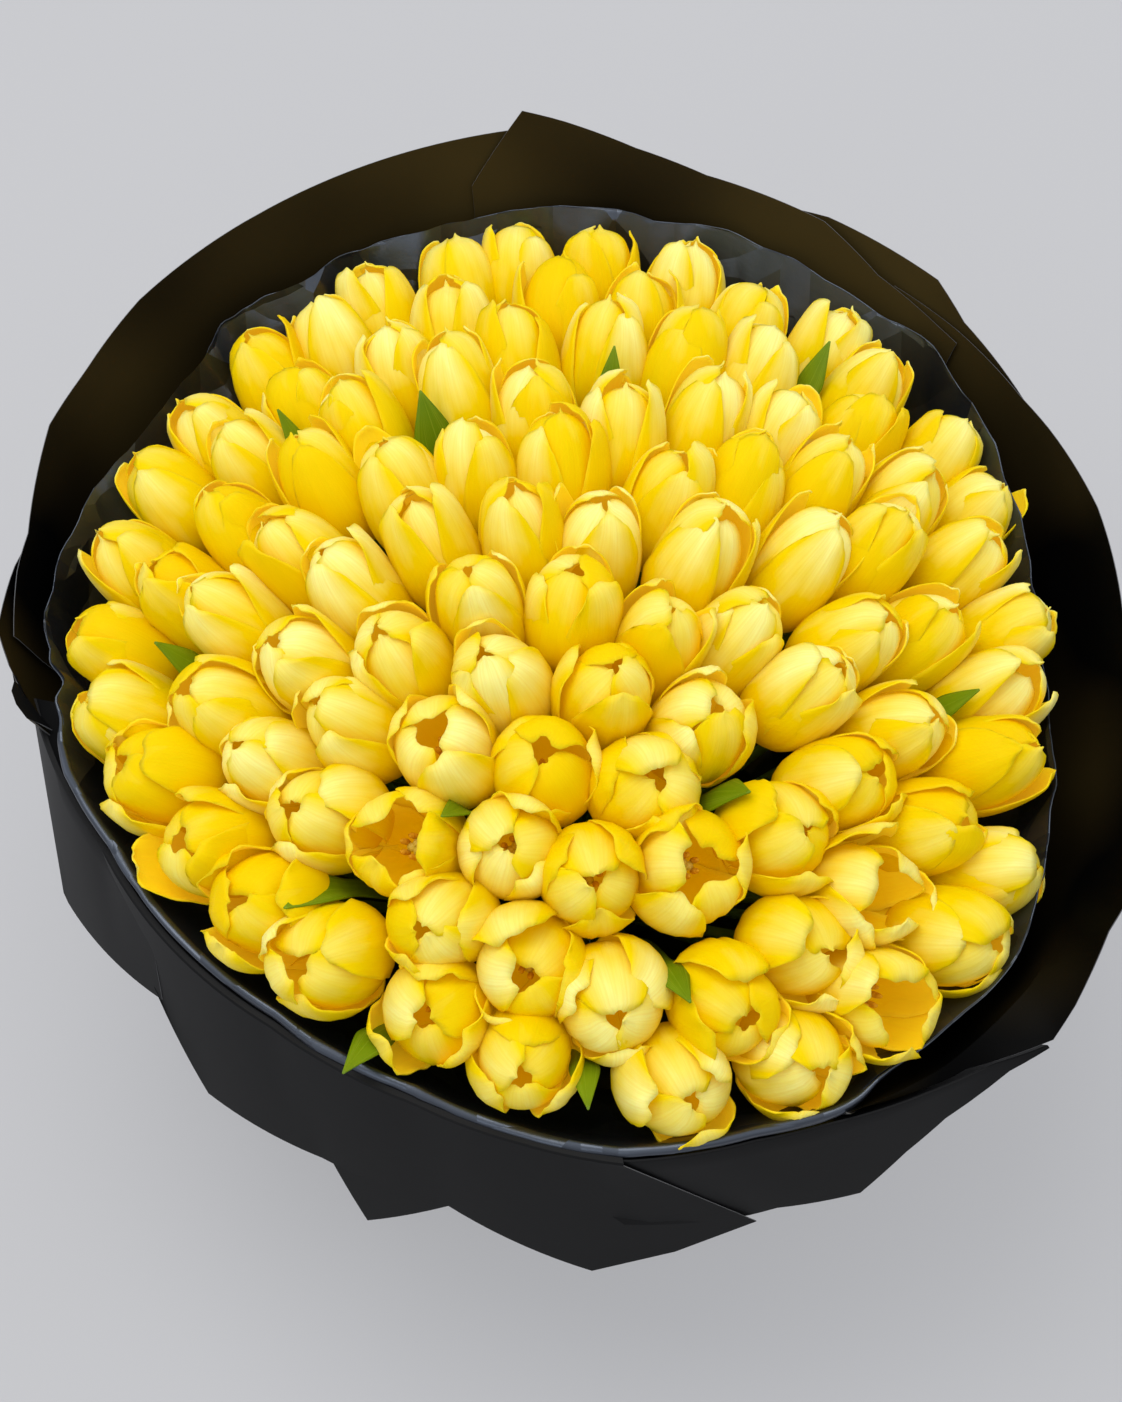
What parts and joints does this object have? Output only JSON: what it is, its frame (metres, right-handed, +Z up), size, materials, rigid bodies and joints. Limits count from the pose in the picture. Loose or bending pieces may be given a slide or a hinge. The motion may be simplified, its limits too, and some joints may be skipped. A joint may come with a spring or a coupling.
{
  "type": "tulip bunch",
  "caption": "Large hand-tied bunch of yellow tulips, its heads in a shallow dome, in a crinkled black lining and stiff black sheets that stand up behind and fold over in front",
  "frame": {"origin": "the middle of the cut end of the middle stem, on the ground under the tie", "axes": "+Z up along the tied stems, +X to the right and +Y to the back as the camera looks, so the sheets stand up towards +Y and fold over towards -Y"},
  "size_m": [0.6342, 0.6709, 0.4573],
  "materials": {
    "petal_yellow": "satin",
    "stem_green": "satin",
    "leaf_green": "satin",
    "film_black": "satin",
    "sheet_black": "matte",
    "ribbon_black": "satin"
  },
  "bodies": {
    "root": {"heads_01": "petal_yellow", "heads_02": "petal_yellow", "heads_03": "petal_yellow", "heads_04": "petal_yellow", "heads_05": "petal_yellow", "heads_06": "petal_yellow", "heads_07": "petal_yellow", "heads_08": "petal_yellow", "heads_09": "petal_yellow", "heads_10": "petal_yellow", "heads_11": "petal_yellow", "heads_12": "petal_yellow", "heads_13": "petal_yellow", "heads_14": "petal_yellow", "heads_15": "petal_yellow", "heads_16": "petal_yellow", "heads_17": "petal_yellow", "heads_18": "petal_yellow", "heads_19": "petal_yellow", "heads_20": "petal_yellow", "heads_21": "petal_yellow", "heads_22": "petal_yellow", "heads_23": "petal_yellow", "heads_24": "petal_yellow", "heads_25": "petal_yellow", "heads_26": "petal_yellow", "heads_27": "petal_yellow", "heads_28": "petal_yellow", "heads_29": "petal_yellow", "heads_30": "petal_yellow", "heads_31": "petal_yellow", "heads_32": "petal_yellow", "heads_33": "petal_yellow", "heads_34": "petal_yellow", "leaf_01": "leaf_green", "leaf_02": "leaf_green", "leaf_03": "leaf_green", "leaf_04": "leaf_green", "leaf_05": "leaf_green", "leaf_06": "leaf_green", "leaf_07": "leaf_green", "leaf_08": "leaf_green", "leaf_09": "leaf_green", "leaf_10": "leaf_green", "leaf_11": "leaf_green", "leaf_12": "leaf_green", "lining": "film_black", "ribbon": "ribbon_black", "sheet_back": "sheet_black", "sheet_back_left": "sheet_black", "sheet_back_right": "sheet_black", "sheet_front": "sheet_black", "sheet_front_left": "sheet_black", "sheet_front_right": "sheet_black", "sheet_left": "sheet_black", "sheet_right": "sheet_black", "sheet_under": "sheet_black", "stems": "stem_green"}
  },
  "joints": []
}
